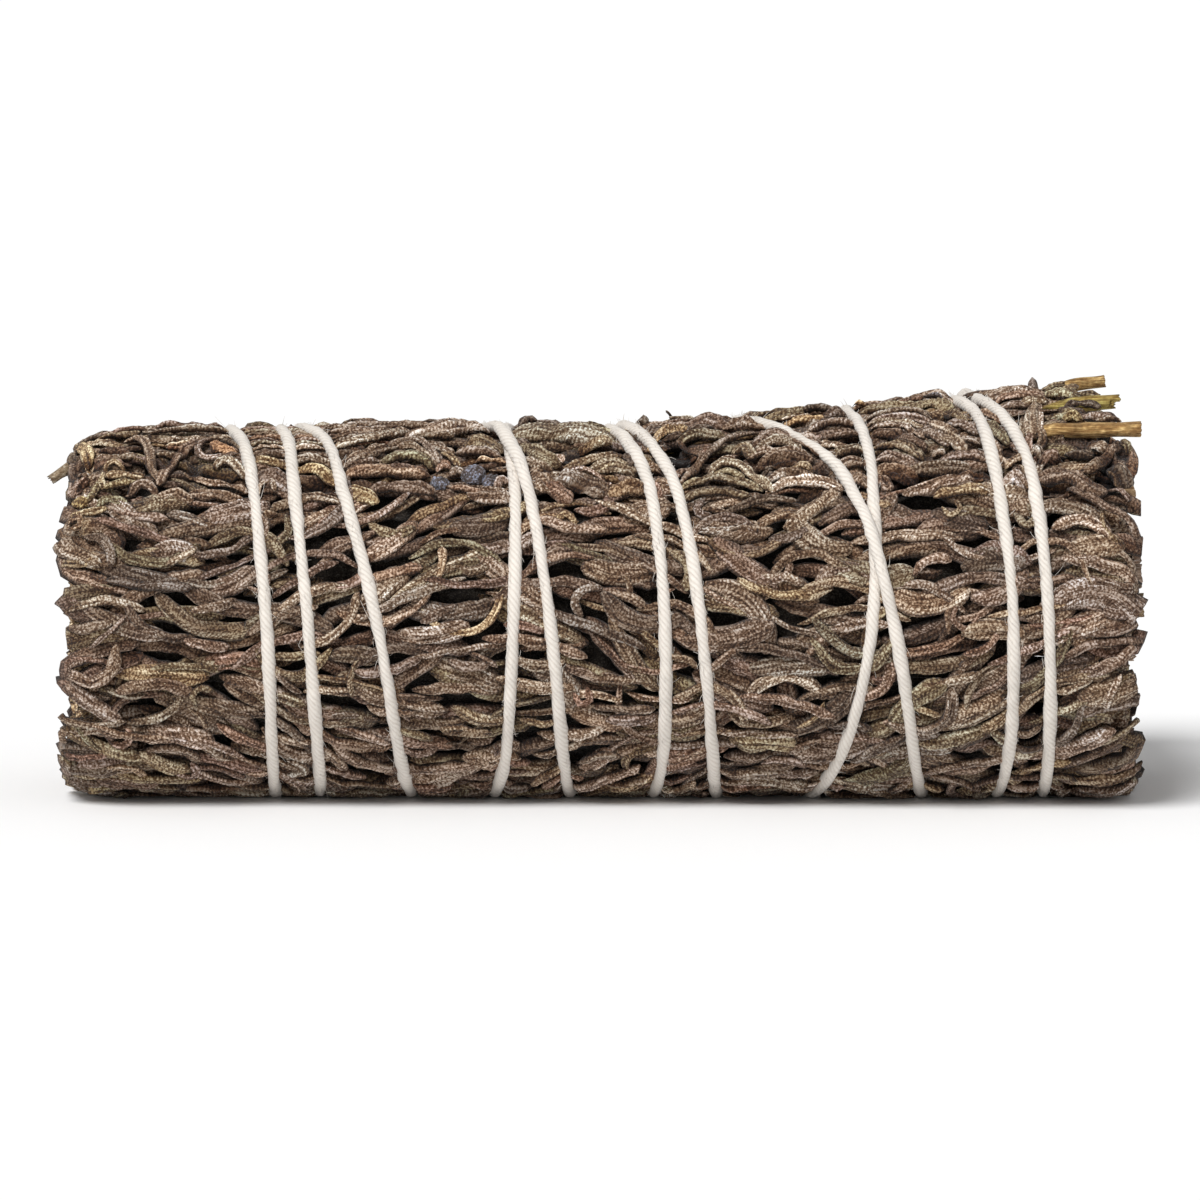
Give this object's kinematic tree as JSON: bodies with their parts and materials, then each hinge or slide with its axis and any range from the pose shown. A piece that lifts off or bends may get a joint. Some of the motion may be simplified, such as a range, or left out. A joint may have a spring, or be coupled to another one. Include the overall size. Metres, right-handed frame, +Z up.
{
  "type": "sage smudge stick",
  "caption": "Short bundle of dried sage sprigs lying on its side, leafy tips at one end and cut stems at the other, wound with one cotton twine.",
  "frame": {"origin": "bottom centre of the bounding box, on the surface that the bundle lies on", "axes": "+X along the bundle towards its cut stems, -Y towards the front, +Z up"},
  "size_m": [0.1056, 0.0403, 0.0402],
  "materials": {
    "dried_leaf": "matte",
    "inner_leaf": "matte",
    "stem": "matte",
    "twine": "matte",
    "flower_bud": "matte"
  },
  "bodies": {
    "root": {"leaf_spray_01": "dried_leaf", "leaf_spray_02": "dried_leaf", "leaf_spray_03": "dried_leaf", "leaf_spray_04": "dried_leaf", "leaf_spray_05": "dried_leaf", "leaf_spray_06": "dried_leaf", "leaf_spray_07": "dried_leaf", "leaf_spray_08": "dried_leaf", "leaf_spray_09": "dried_leaf", "leaf_spray_10": "dried_leaf", "leaf_spray_11": "dried_leaf", "leaf_spray_12": "dried_leaf", "leaf_spray_13": "dried_leaf", "leaf_spray_14": "dried_leaf", "leaf_spray_15": "dried_leaf", "leaf_spray_16": "dried_leaf", "leaf_spray_17": "dried_leaf", "leaf_spray_18": "dried_leaf", "leaf_spray_19": "dried_leaf", "leaf_spray_20": "dried_leaf", "inner_spray_01": "inner_leaf", "inner_spray_02": "inner_leaf", "inner_spray_03": "inner_leaf", "inner_spray_04": "inner_leaf", "inner_spray_05": "inner_leaf", "inner_spray_06": "inner_leaf", "inner_spray_07": "inner_leaf", "inner_spray_08": "inner_leaf", "inner_spray_09": "inner_leaf", "inner_spray_10": "inner_leaf", "stem_01": "stem", "stem_02": "stem", "stem_03": "stem", "stem_04": "stem", "stem_05": "stem", "stem_06": "stem", "stem_07": "stem", "stem_08": "stem", "stem_09": "stem", "stem_10": "stem", "stem_11": "stem", "stem_12": "stem", "stem_13": "stem", "stem_14": "stem", "twig": "stem", "twine": "twine", "twine_knot": "twine", "twine_tail_1": "twine", "twine_tail_2": "twine", "flower_bud": "flower_bud"}
  },
  "joints": []
}
